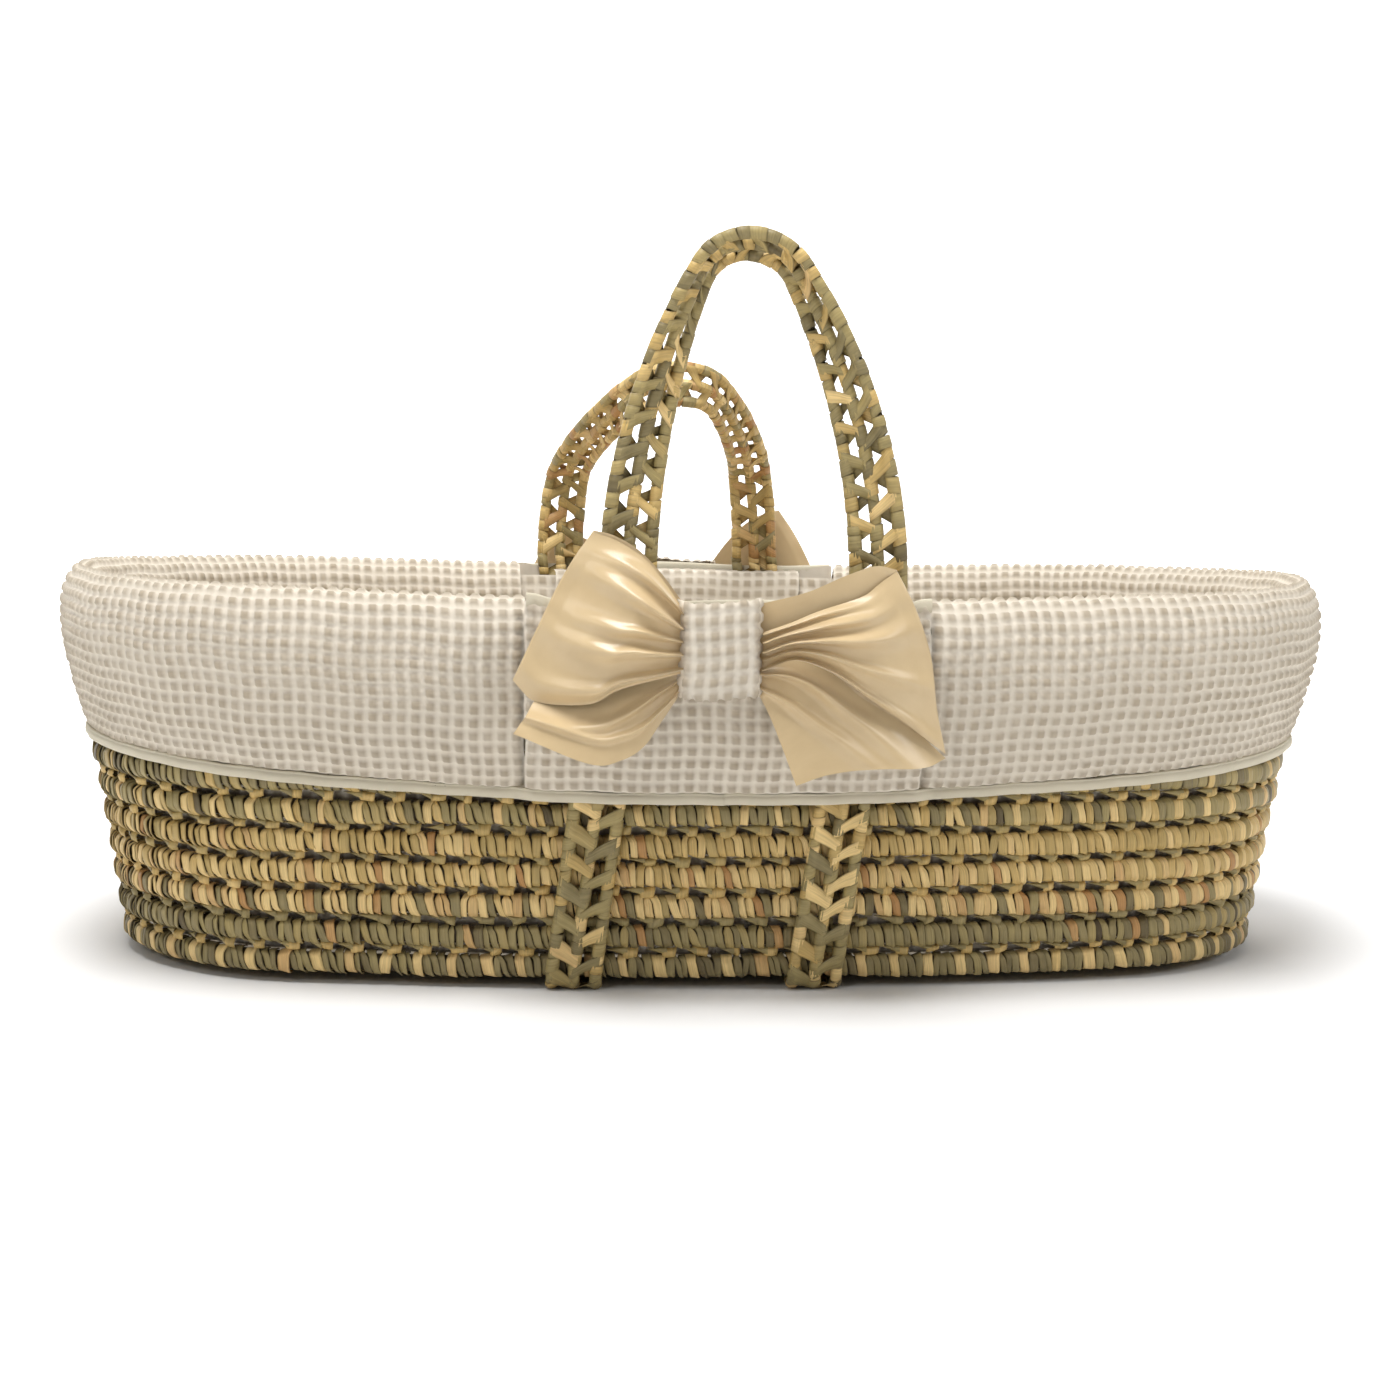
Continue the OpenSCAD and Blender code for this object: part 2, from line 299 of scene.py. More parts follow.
def tones_for(row):
    """Four strips between one tie and the next."""
    pick = dice.random()
    sets = {
        1: [CREAM, OLIVE, OLIVE, OLIVE],
        2: [OLIVE, SAGE, OLIVE, TAN if pick < 0.15 else SAGE],
        3: [CREAM, CREAM, CREAM if pick < 0.5 else TAN, OLIVE],
        4: [STRAW, CREAM, TAN if pick < 0.3 else STRAW, CREAM],
        5: [STRAW, STRAW, CREAM if pick < 0.4 else STRAW, TAN if pick < 0.25 else STRAW],
        6: [CREAM, STRAW if pick < 0.5 else SAGE, OLIVE if pick < 0.6 else SAGE, SAGE],
    }
    found = sets.get(row, [OLIVE, SAGE, SAGE if pick < 0.6 else STRAW, OLIVE])
    return [t + dice.normal(0, 0.055) for t in found]


def coil(row, height, out, around, fine):
    """One wrapped turn; around is the part of its section that carries strips, in radians."""
    bundle = Bundle()
    length = plan.length
    ties = int(round(length / TIE_PITCH))
    first = dice.uniform(0, TIE_PITCH)
    count = ties * 4
    widths = dice.uniform(0.72, 1.3, (ties, 4))
    if row == 1:
        widths = widths * [1.35, 0.9, 0.9, 0.9]
    widths = widths / widths.sum(1, keepdims=True) * (length / ties)
    edges = np.concatenate([[0], np.cumsum(widths.ravel())]) + first
    middle, half = (edges[1:] + edges[:-1]) / 2, (edges[1:] - edges[:-1]) / 2
    knot_at = (np.arange(ties) + 0.5 * (2 * widths[:, :1].ravel() + widths[:, 1]) / (length / ties)) * (
        length / ties) + first
    tone = np.array([tones_for(row) for _ in range(ties)]).ravel()
    u = strip if fine else strip[[0, 2, 3, 4, 6]]
    lift = swell if fine else swell[[0, 2, 3, 4, 6]]
    a = around[None, :, None]
    cos, sin = np.cos(a), np.sin(a)
    bulge = 2 / 2.6
    edge_out = np.sign(cos) * np.abs(cos) ** bulge
    edge_up = np.sign(sin) * np.abs(sin) ** bulge
    fill = dice.uniform(0.93, 1.04, (count, 1, 1))
    s = middle[:, None, None] + half[:, None, None] * fill * u[None, None, :]
    near = np.repeat(knot_at, 4)[:, None, None]
    gap = s - near
    pinch = 0.62 * smooth((a - 0.35) / 0.9) * np.exp(-(gap / 0.0062) ** 2) * fine
    pull = smooth((a - 0.5) / 0.8) * np.exp(-(gap / 0.005) ** 2) * fine
    s = near + gap * (1 - pinch)
    s = s - (0.0013 + dice.normal(0, 0.0008, (count, 1, 1))) * sin
    s = s + dice.normal(0, 0.0002, (count, 1, 1)) * cos
    raised = lift[None, None, :] * (1 + 0.8 * pull) + dice.uniform(-0.0003, 0.0006, (count, 1, 1))
    raised = raised + 0.0002 * np.sin(5 * a + dice.uniform(0, 6.3, (count, 1, 1)))
    raised = raised + (0.0004 + dice.normal(0, 0.0003, (count, 1, 1))) * u[None, None, :]
    sway_z, sway_out = drift(s, length, 0.0016), drift(s, length, 0.0011)
    points = plan.at(s, out + sway_out + HALF_T * edge_out + raised * cos,
                     height + sway_z + HALF_H * edge_up * (1 + 0.03 * pull) + raised * sin)
    along = a * HALF_H + dice.uniform(0, 5, (count, 1, 1))
    lay = columns(u[None, None, :], along, tone[:, None, None])
    bundle.add(points, lay)
    # the bundle inside the strips, given the near-black lowest tone: painted shade seen through the gaps
    # between strips, as well as the bundle's own darker leaf
    core_a = np.linspace(-math.pi, math.pi, 12, endpoint=False)[None, None, :]
    t = np.linspace(0, length, 240)[None, :, None]
    core = plan.at(t, out + (HALF_T - 0.0016) * np.cos(core_a), height + (HALF_H - 0.0014) * np.sin(core_a))
    bundle.add(core, np.array([0, 0, 0.02]), ring=True)
    if fine:
        # knots: a pinched barrel and a folded flag that runs off to the left
        v = np.linspace(-1, 1, 6)[None, :, None]
        w = np.linspace(-1, 1, 7)[None, None, :]
        n = len(knot_at)
        jitter = dice.normal(0, 1, (8, n, 1, 1))
        top = height + row_gap / 2
        at = knot_at[:, None, None] - 0.0007
        tall = 0.0033 + 0.0004 * jitter[0]
        wide = 0.0042 + 0.0006 * jitter[1]
        ks = at + wide * w * (1 + 0.12 * v) + 0.0006 * jitter[2]
        kz = top + tall * v + 0.0005 * jitter[3] + 0.0006 * w * jitter[4]
        bow = np.sqrt(np.clip(1 - 0.93 * v * v, 0, 1)) * np.sqrt(np.clip(1 - 0.75 * w * w, 0, 1))
        crimp = 0.00035 * np.sin(6.5 * v + jitter[5] * 2)
        ko = out + 0.0024 + 0.0047 * bow + crimp
        knot_tone = tone.reshape(ties, 4)[:, 0][:, None, None] * 0.5 + 0.17 + 0.02 * jitter[6]
        along = v * 0.004 + jitter[6]
        bundle.add(plan.at(ks, ko, kz), columns(w * 0.9, along, knot_tone))
        t = np.linspace(0, 1, 7)[None, None, :]
        long = 0.0118 + 0.0015 * jitter[7]
        fs = at - 0.002 - long * t
        narrow = (1 - t) ** 1.2
        fz = top + 0.0009 + (tall * 0.9) * v * (0.04 + 0.96 * narrow) + 0.0014 * t * (1 + 0.5 * jitter[3])
        fo = out + 0.0042 + 0.0021 * np.sqrt(np.clip(1 - v * v, 0, 1)) * (0.25 + narrow) - 0.0022 * t
        flag_tone = 0.24 + 0.2 * np.clip(knot_tone - 0.3, 0, 1) + 0.03 * jitter[1]
        bundle.add(plan.at(fs, fo, fz), columns(v * 0.9, t * 0.02 + jitter[1], flag_tone))
    bundle.make("wall_row_%02d" % row, palm, "palm_coil", ["wall_coil_%02d" % row])


box = [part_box("wall_coil_%02d" % k) for k in range(1, 13)]
row_gap = box[1][1].z - box[0][1].z
for row in range(1, 13):
    # the turns behind the dressing are wrapped more plainly
    high, seen = box[row - 1][1], row <= 8
    around = np.radians(np.linspace(-112, 112, 21 if seen else 9))
    coil(row, high.z - 0.0079, high.x - 0.383 - HALF_T, around, seen)

low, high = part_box("base_coils")
BASE_Z, BASE_STEP = 0.011, 0.0184
flat_rows = Bundle()
for k in range(7):
    out = high.x - 0.383 - 0.008 - BASE_STEP * k
    a = np.radians(np.linspace(-180, 180, 15))[None, :, None]
    n = int((plan.length + 2 * math.pi * out) / 0.0064)
    s = (np.arange(n)[:, None, None] + 0.5 + 0.52 * strip[None, None, [0, 2, 4, 6]]) * plan.length / n
    lift = swell[[0, 2, 4, 6]][None, None, :]
    tone = dice.choice([OLIVE, SAGE, STRAW, CREAM], n)[:, None, None] + dice.normal(0, 0.03, (n, 1, 1))
    side = np.sign(np.cos(a)) * np.abs(np.cos(a)) ** 0.8
    points = plan.at(s + 0.002 * np.sin(a), out + (0.008 + lift) * side, BASE_Z + (0.0055 + lift) * np.sin(a))
    flat_rows.add(points, columns(strip[None, None, [0, 2, 4, 6]], a * 0.006, tone))
for y, reach in ((0, 0.236), (0.0118, 0.184), (-0.0118, 0.184), (0.0236, 0.038), (-0.0236, 0.038)):
    a = np.radians(np.linspace(-180, 180, 13))[None, :, None]
    n = int(2 * reach / 0.0066)
    x = (np.arange(n)[:, None, None] + 0.5 + 0.52 * strip[None, None, [0, 2, 4, 6]]) * 2 * reach / n - reach
    r = 0.0054 + swell[[0, 2, 4, 6]][None, None, :]
    tone = dice.choice([OLIVE, SAGE, STRAW], n)[:, None, None]
    points = columns(x + 0.002 * np.sin(a), y + r * np.cos(a), BASE_Z + r * np.sin(a))
    flat_rows.add(points, columns(strip[None, None, [0, 2, 4, 6]], a * 0.006, tone))
flat_rows.make("base_rows", palm, "palm_coil", ["base_coils"])

# ---------------------------------------------------------------- the straps
# Each strap is three leaf-wrapped cords laced side by side with broad slanting
# leaves; it runs down the front wall, under the base and up the back wall.


def along_path(path, at):
    """Points at distances along a path of closely spaced points."""
    steps = np.linalg.norm(np.diff(path, axis=0), axis=1)
    far = np.concatenate([[0], np.cumsum(steps)])
    return np.stack([np.interp(at, far, path[:, k]) for k in range(3)], -1)


def even(path, n):
    steps = np.linalg.norm(np.diff(path, axis=0), axis=1).sum()
    return along_path(path, np.linspace(0, steps, n))


def unit(v):
    return v / np.maximum(np.linalg.norm(v, axis=-1, keepdims=True), 1e-9)


CORD_R = 0.00375


def lace(bundle, cords, face, thick, lean_dark, both):
    """Wrapped cords, side by side in the order given, and the leaves that cross between them."""
    n = cords.shape[1]
    middle = cords[1]
    reach = np.linalg.norm(np.diff(middle, axis=0), axis=1).sum()
    forward = unit(np.gradient(cords, axis=1))
    aside = cords[2] - cords[0]
    out = unit(np.cross(forward[1], aside))
    out = out * np.sign((out * face).sum(-1, keepdims=True))
    here = np.linspace(0, reach, n)

    def frame_at(which, far):
        p = np.stack([np.interp(far, here, cords[which][:, k]) for k in range(3)], -1)
        o = unit(np.stack([np.interp(far, here, out[:, k]) for k in range(3)], -1))
        f = unit(np.stack([np.interp(far, here, forward[which][:, k]) for k in range(3)], -1))
        return p, o, unit(np.cross(f, o)), np.interp(far, here, thick)

    for which in range(3):
        count = int(reach / 0.0082)
        cuts = np.cumsum(dice.uniform(0.65, 1.4, count))
        cuts = np.concatenate([[0], cuts]) / cuts[-1] * reach
        mid, half = (cuts[1:] + cuts[:-1]) / 2, (cuts[1:] - cuts[:-1]) / 2
        a = np.linspace(-math.pi, math.pi, 13)[None, :, None]
        u = strip[None, None, [0, 1, 3, 5, 6]]
        rim = swell[None, None, [0, 1, 3, 5, 6]]
        tilt = dice.normal(0.0008, 0.0007, (count, 1, 1))
        far = mid[:, None, None] + 1.04 * half[:, None, None] * u + tilt * np.sin(a)
        p, o, c, t = frame_at(which, far)
        r = t + rim * 0.8 + dice.uniform(-0.0003, 0.0004, (count, 1, 1))
        points = p + o * (r * np.cos(a))[..., None] + c * (CORD_R / t * r * np.sin(a))[..., None]
        tone = dice.choice(lean_dark, count)[:, None, None] + dice.normal(0, 0.04, (count, 1, 1))
        lay = columns(u, a * 0.004 + dice.uniform(0, 5, (count, 1, 1)), tone)
        bundle.add(points, lay)
    cells = int(reach / 0.0185)
    for gap in (0, 1):
        for side in ((1, -1) if both else (1,)):
            start = (np.arange(cells) + 0.25 + 0.5 * gap + 0.25 * (side < 0)) * reach / cells
            start = start[:, None, None] + dice.normal(0, 0.0008, (cells, 1, 1))
            v = np.linspace(-0.22, 1.22, 11)[None, :, None]
            u = strip[None, None, [0, 1, 3, 5, 6]]
            slant = (0.0085 if gap == 0 else -0.0075) * side
            wide = (0.0062 - 0.0016 * v) if gap == 0 else (0.0040 + 0.0014 * v)
            wide = wide * dice.uniform(0.85, 1.12, (cells, 1, 1))
            far = np.clip(start + slant * (v - 0.5) + wide * u * (0.82 if both else 1.0), 0, reach)
            p0, o0, _, t0 = frame_at(gap, far)
            p1 = frame_at(gap + 1, far)[0]
            span = np.clip(v, 0, 1)
            over = np.where((v < 0) | (v > 1), 0.0022 * (np.abs(v - 0.5) - 0.5) / 0.22, 0)
            height = t0 + 0.0006 - over - 0.0023 * np.sin(math.pi * span) + swell[None, None, [0, 1, 3, 5, 6]]
            height = height + 0.0009 * u * np.sin(math.pi * span) * (1 if gap == 0 else -1)
            points = p0 + (p1 - p0) * v[..., None] + o0 * (side * height)[..., None]
            tone = dice.choice(lean_dark + [STRAW, CREAM], cells)[:, None, None]
            tone = tone + dice.normal(0, 0.04, (cells, 1, 1))
            lay = columns(u, v * 0.012 + dice.uniform(0, 5, (cells, 1, 1)), tone)
            bundle.add(points, lay)


SLANT, PITCH, TURN_Z = 0.118, 0.0135, 0.0125


def strap_run(shift):
    """One cord down the front wall from under the rim and round the bottom edge."""
    z = np.linspace(0.252, TURN_Z, 60)
    x = shift + SLANT * (z - 0.131)
    y = -(0.167 + 0.0013 + CORD_R + FLARE * z - (plan.side - np.sqrt(plan.side**2 - x * x)))
    a = np.linspace(0, math.pi / 2, 12)[1:]
    corner = columns(x[-1], y[-1] + 0.0085 * (1 - np.cos(a)), TURN_Z - 0.0098 * np.sin(a))
    return np.concatenate([np.stack([x, y, z], -1), corner])


for name, x0 in (("left", -0.075), ("right", 0.075)):
    cords = []
    for lane in (-1, 0, 1):
        rear = strap_run(-x0 - PITCH * lane)[::-1] * [-1, -1, 1]
        cords.append(even(np.concatenate([strap_run(x0 + PITCH * lane), rear]), 500))
    cords = np.array(cords)
    face = np.stack([0 * cords[1][:, 0], cords[1][:, 1] * 4, cords[1][:, 2] - 0.1], -1)
    face[np.abs(cords[1][:, 1]) < 0.165] = (0, 0, -1)
    under = smooth((0.012 - cords[1][:, 2]) / 0.009)
    band = Bundle()
    lace(band, cords, face, CORD_R - 0.0011 * under, [OLIVE, SAGE, SAGE, STRAW, CREAM], False)
    band.make("strap_" + name, palm, "palm_strap",
              ["front_%s_strap" % name, "under_strap_" + name, "back_%s_strap" % name])

# --------------------------------------------------------------- the handles
# The same laced leaf band, bent into an arch over each long side. The front
# one stands up; the back one has gone soft and flops in over the basket.


def arch(w0, h, r1, n=260):
    """One cord of an arch in its own plane, from the left foot to the right one."""
    zc = h - r1
    r2 = (w0 * w0 + zc * zc - r1 * r1) / (2 * (w0 - r1))
    top = math.asin(zc / (r2 - r1))
    a = np.linspace(0, top, 120)
    b = np.linspace(top, math.pi / 2, 60)[1:]
    half = np.concatenate([np.stack([w0 - r2 + r2 * np.cos(a), r2 * np.sin(a)], -1),
                           np.stack([r1 * np.cos(b), zc + r1 * np.sin(b)], -1)])
    whole = np.concatenate([half * [-1, 1], half[-2::-1]])
    return even(np.concatenate([whole, 0 * whole[:, :1]], 1), n)


FOLD_Y, FOLD_Z, BEND_FROM, RISE = 0.21, 0.25, 0.064, 0.205
handles = (("front_handle", 0.0, [OLIVE, OLIVE, SAGE, SAGE, STRAW], False),
           ("back_handle", 62.0, [SAGE, STRAW, STRAW, TAN, CREAM], True))
for name, flop, tones, turned in handles:
    cords = []
    for lane in (1, 0, -1):
        flat = arch(0.075 + PITCH * lane, RISE + 0.0055 * lane, 0.033 + 0.005 * lane)
        twist = math.radians(3.2 * lane)
        up = flat[:, 1]
        if flop:
            t = np.maximum(up - BEND_FROM, 0)
            angle = math.radians(flop) - 1.4 * twist
            y, z = t * math.sin(angle), np.minimum(up, BEND_FROM) + t * math.cos(angle)
        else:
            y, z = -up * math.sin(twist), up * math.cos(twist)
        x = flat[:, 0] + 0.014 - 0.006 * (up / RISE) ** 2
        cords.append(np.stack([x, y - FOLD_Y, z + FOLD_Z], -1))
    cords = np.array(cords)
    if flop:
        # round the kink where the band goes over
        kernel = np.hanning(23) / np.hanning(23).sum()
        for k in range(3):
            for axis in range(3):
                line = np.pad(cords[k][:, axis], 11, "reflect", reflect_type="odd")
                cords[k][:, axis] = np.convolve(line, kernel, "valid")
    face = np.zeros_like(cords[1]) + (0, -1, 0.001)
    band = Bundle()
    lace(band, cords, face, np.full(cords.shape[1], 0.0036), tones, True)
    band.make(name + "_band", palm, "palm_strap", [name], name, turned)

# -------------------------------------------------------------- the dressing
# Padded honeycomb-weave cotton: two long halves over the ends of the rim, a
# panel over the straps on each side, all closed below by a narrow tape.


def curve(points, t):
    """Places t (0 to 1) along a smooth line through the points."""
    p = np.asarray(points, float)
    p = np.concatenate([[2 * p[0] - p[1]], p, [2 * p[-1] - p[-2]]])
    k = np.linspace(0, 1, 12, endpoint=False)[None, :, None]
    a, b, c, d = (p[i:len(p) - 3 + i][:, None, :] for i in range(4))
    line = 0.5 * (2 * b + (c - a) * k + (2 * a - 5 * b + 4 * c - d) * k**2 + (3 * b - a - 3 * c + d) * k**3)
    line = np.concatenate([line.reshape(-1, p.shape[1]), p[-2:-1]])
    far = np.concatenate([[0], np.cumsum(np.linalg.norm(np.diff(line, axis=0), axis=1))])
    t = np.asarray(t) * far[-1]
    return np.stack([np.interp(t, far, line[:, i]) for i in range(p.shape[1])], -1)


def cloth_paint(colour, hollow_shade, thread, depth, rough=0.85):
    """Cotton: lay is (metres along, metres down, height of the weave from 0 to 1)."""

    def recipe(w):
        lay = w.node("Attribute", {"attribute_name": "lay"}, out="Vector")
        x, y, h = [w.node("SeparateXYZ", None, {0: lay}, k) for k in "XYZ"]
        flat = w.node("CombineXYZ", None, {0: x, 1: y, 2: 0.0})
        yarn = {"Vector": flat, "Scale": 1 / thread, "Distortion": 1.5, "Detail": 1.0, "Detail Scale": 2.0}
        warp, weft = [w.node("TexWave", {"bands_direction": way}, yarn, "Fac") for way in "XY"]
        cloud = w.node("TexNoise", None, {"Vector": flat, "Scale": 38.0, "Detail": 3.0}, "Fac")
        # painted shade and painted highlight: the weave height sets the colour, so the pits take the darker
        # colour and the ridges the paler one, lightest where they cross
        high = h * 0.9 + (cloud - 0.5) * 0.15 + 0.05
        shade = w.node("ValToRGB", {"stops": [(0.0, hollow_shade), (1.0, colour)]}, {0: high})
        bump = w.node("Bump", None, {"Height": warp + weft, "Strength": 0.6, "Distance": depth})
        return {"Base Color": shade, "Roughness": rough, "Normal": bump, "Sheen Weight": 0.15,
                "Specular IOR Level": 0.25}

    return recipe


waffle = paint("honeycomb_cotton", cloth_paint(tint(243, 233, 216), tint(194, 179, 156), 0.0011, 0.00025))
tape = paint("plain_tape", cloth_paint(tint(226, 217, 194), tint(206, 195, 170), 0.0006, 0.0001))

CELL_S, CELL_V = 0.0086, 0.0081
spots = np.array([0.1, 0.31, 0.69, 0.9])
ridge = np.array([1.0, 0.0, 0.0, 1.0])


def weave(base, along, down, depth, cell=(CELL_S, CELL_V)):
    """Honeycomb relief over base(s, v), both in metres; returns points and lay."""
    cols = max(2, int(round(abs(along[1] - along[0]) / cell[0])))
    rows = max(2, int(round((down[1] - down[0]) / cell[1])))
    across = ((np.arange(cols)[:, None] + spots) / cols).ravel()
    deep = ((np.arange(rows)[:, None] + spots) / rows).ravel()
    s = along[0] + (along[1] - along[0]) * np.concatenate([[0], across, [1]])
    v = down[0] + (down[1] - down[0]) * np.concatenate([[0], deep, [1]])
    rs = np.concatenate([[1], np.tile(ridge, cols), [1]])[:, None]
    rv = np.concatenate([[1], np.tile(ridge, rows), [1]])[None, :]
    wobble = 0.0005 * np.sin(v * 140 + 3)[None, :]
    s2, v2 = np.broadcast_arrays(s[:, None] + wobble, v[None, :] + 0.0006 * np.sin(s * 95)[:, None])
    s2 = np.clip(s2, min(along), max(along))
    v2 = np.clip(v2, down[0], down[1])
    flat = base(s2, v2)
    normal = unit(np.cross(np.gradient(flat, axis=0), np.gradient(flat, axis=1)))
    high = 1 - (1 - rs) * (1 - rv) + 0.3 * rs * rv
    each = dice.uniform(0.75, 1.15, (cols + 2, rows + 2))
    each = np.repeat(np.repeat(each, 4, 0), 4, 1)[3:3 + len(s), 3:3 + len(v)]
    high = 1 - (1 - high) * each
    points = flat + normal * ((high - 0.6) * depth)[..., None]
    # the height also goes to the material, which paints the pits darker and the ridge crossings lighter:
    # painted shade and painted highlight
    lay = np.stack([s2, v2, high * 0.85], -1)
    return points, lay


HEM_Z, SWELL_OUT = 0.1315, 0.045
belly = Oval(0.383 + SWELL_OUT, 0.167 + SWELL_OUT, 0.147 + SWELL_OUT)
edge_s = belly.side * math.asin(0.118 / plan.side)


def hem_z(x):
    """Height of the hem, which climbs towards the two ends."""
    return 0.1275 + 0.021 * (x / 0.42) ** 2


def hung(profile, s, v, puff, seams):
    """Points of the dressing at s metres along the belly and v millimetres down the profile."""
    reach = np.linalg.norm(np.diff(curve(profile, np.linspace(0, 1, 300)), axis=0), axis=1).sum()
    place = curve(profile, np.clip(v / reach, 0, 1))
    out, z = place[..., 0] * 0.001, place[..., 1] * 0.001
    x = belly.at(s)[..., 0]
    share = (x / 0.42) ** 2
    crest = 0.2455 + 0.0075 * share
    low = hem_z(x)
    t = (z - HEM_Z) / 0.114
    inside = v < reach * 0.27
    outward = low + t * (crest - low)
    inward = crest + (z - 0.2455)
    z2 = np.where(inside, inward, outward)
    out = out + FLARE * (low - HEM_Z) * (1 - t) * ~inside - 0.009 * share * smooth((out - 0.022) / 0.024)
    out = out - 0.0035 * share * (1 - np.clip(t, 0, 1)) * ~inside
    down = v * 0.001
    wave = np.sin(31 * s + 1) * np.sin(47 * down + 2 * np.sin(9 * s)) + 0.7 * np.sin(67 * s + 40 * down + 2)
    out = out + puff * wave * np.sin(math.pi * np.clip(t, 0, 1))
    z2 = z2 + 0.5 * puff * np.sin(23 * s + 2)
    for seam in seams:
        gap = np.abs(np.mod(s - seam + belly.length / 2, belly.length) - belly.length / 2)
        out = out - 0.0025 * np.exp(-(gap / 0.0045) ** 2)
    return belly.at(s, out - SWELL_OUT, z2)


over_rim = [(13.2, 203), (13.4, 224), (17, 236.5), (25, 243.5), (34, 245.5), (42, 242), (48, 233), (51, 218),
            (50.5, 199), (47, 179), (41.5, 159), (33.5, 142.5), (25, 131.5)]
under_rim = [(16.1, 203), (21.2, 236.8), (24, 238.6), (30.6, 239), (35.6, 237.2), (38.2, 231.5), (21.9, 131)]
reach = np.linalg.norm(np.diff(curve(over_rim, np.linspace(0, 1, 300)), axis=0), axis=1).sum() * 0.001
total, DEEP = belly.length, 0.0018
halves = (("skirt_right", edge_s, total / 2 - edge_s), ("skirt_left", total / 2 + edge_s, total - edge_s))
for name, first, last in halves:
    half = Bundle()
    points, lay = weave(lambda s, v: hung(over_rim, s, v * 1000, 0.0011, (first, last)),
                        (first, last), (0, reach), DEEP)
    half.add(points[None], lay[None])
    s, v = np.meshgrid(np.linspace(first, last, 90), np.linspace(0, 1, 24), indexing="ij")
    lining_reach = np.linalg.norm(np.diff(curve(under_rim, np.linspace(0, 1, 300)), axis=0), axis=1).sum()
    lining = hung(under_rim, s, v * lining_reach, 0.0, ())
    half.add(lining[None, :, ::-1], np.stack([s, v * 0.2, 0 * s + 0.7], -1)[None])
    made = half.make(name + "_cloth", waffle, "waffle_cotton", [name])

panel_line = [(52.4, 238.5), (53.8, 223), (53.2, 205), (51.5, 185), (48, 165), (41.5, 147), (34.2, 131.5)]
panel_back = [(48.1, 238.5), (42.1, 200), (31, 131)]
panel_reach = np.linalg.norm(np.diff(curve(panel_line, np.linspace(0, 1, 300)), axis=0), axis=1).sum() * 0.001


def panel_at(line, s, v, puff):
    place = curve(line, np.clip(v, 0, 1))
    out, z = place[..., 0] * 0.001, place[..., 1] * 0.001
    x = belly.at(s)[..., 0]
    t = (z - HEM_Z) / 0.107
    low, high = hem_z(x), 0.2415 + 0.0035 * smooth((np.abs(s) - 0.1) / 0.018)
    z2 = low + t * (high - low)
    out = out + FLARE * (low - HEM_Z) * (1 - t)
    wave = np.sin(38 * s + 1) * np.sin(60 * z) + 0.6 * np.sin(71 * s)
    out = out + puff * wave * np.sin(math.pi * np.clip(t, 0, 1))
    for seam in (-edge_s, edge_s):
        out = out - 0.0028 * np.exp(-((s - seam) / 0.0035) ** 2)
    return belly.at(s, out - SWELL_OUT, z2)


for name, turned in (("front", False), ("back", True)):
    half = Bundle()
    points, lay = weave(lambda s, v: panel_at(panel_line, s, v / panel_reach, 0.0009),
                        (-edge_s, edge_s), (0, panel_reach), DEEP)
    half.add(points[None], lay[None])
    s, v = np.meshgrid(np.linspace(-edge_s, edge_s, 40), np.linspace(0, 1, 12), indexing="ij")
    half.add(panel_at(panel_back, s, v, 0)[None, :, ::-1], np.stack([s, v * 0.1, 0 * s + 0.7], -1)[None])
    made = half.make(name + "_panel_cloth", waffle, "waffle_cotton", [name + "_panel"], turned=turned)
    # the taped top edge of the panel, behind which the handle comes out
    top_s = edge_s - 0.0012
    a = np.linspace(0, 2 * math.pi, 16, endpoint=False)
    s, a = np.meshgrid(np.linspace(-top_s, top_s, 120), a, indexing="ij")
    puff = 0.0003 * np.sin(s * 900) + 0.0006 * np.sin(s * 60)
    rise = 0.0 if turned else 0.0035
    z = 0.2412 + 0.0043 * np.sin(a) + 0.0012 * np.sin(s * 37 + 1) + rise * smooth((np.abs(s) - 0.1) / 0.018)
    out = 0.0503 + (0.0021 + puff) * np.sign(np.cos(a)) * np.abs(np.cos(a)) ** 0.6
    band = Bundle()
    band.add(belly.at(s, out - SWELL_OUT, z)[None], columns(s, a * 0.004, 0.9)[None], ring=True)
    band.make(name + "_panel_tape", tape, "cotton_binding", [name + "_panel_binding"], turned=turned)

# the tape round the hem, one length that steps out over the straps
s = np.linspace(0, total, 1500)
near = smooth((edge_s + 0.012 - np.abs(np.mod(s + total / 4, total / 2) - total / 4)) / 0.018)
turn_in = np.array([(0.6, -7.4), (2.6, -7.4), (3.3, -6.6), (3.7, -4.4), (3.5, -2.6), (2.7, -1.9), (3.4, -1.3),
                    (3.0, -0.4), (0.9, 0.2)]) * 0.001
x = belly.at(s)[:, 0]
ripple = 0.0005 * np.sin(s * 180) + 0.0004 * np.sin(s * 71 + 1)
out = (0.0206 + 0.0096 * near + FLARE * (hem_z(x) - HEM_Z))[:, None] + turn_in[None, :, 0] + ripple[:, None]
z = (hem_z(x) + 0.0007 + 0.5 * ripple)[:, None] + turn_in[None, :, 1]
hem = Bundle()
# painted shade: the row in the groove near the top of the tape gets a low weave height, so it takes the
# darker colour as a shadow line
groove_shade = np.abs(turn_in[None, :, 1] + 0.0019) < 0.0004
lay = columns(s[:, None], turn_in[None, :, 1], 0.75 - 0.5 * groove_shade)
hem.add(belly.at(s[:, None], out - SWELL_OUT, z)[None], lay[None], ring=True)
hem.make("hem_tape", tape, "cotton_binding", ["hem_binding"])

# ---------------------------------------------------------------- the lining
# The same cotton inside: a wall of cloth against the palm, a floor under the
# mattress, and a flap over the rim between the legs of each handle.

wall = Bundle()
LINING_TOP = 0.237


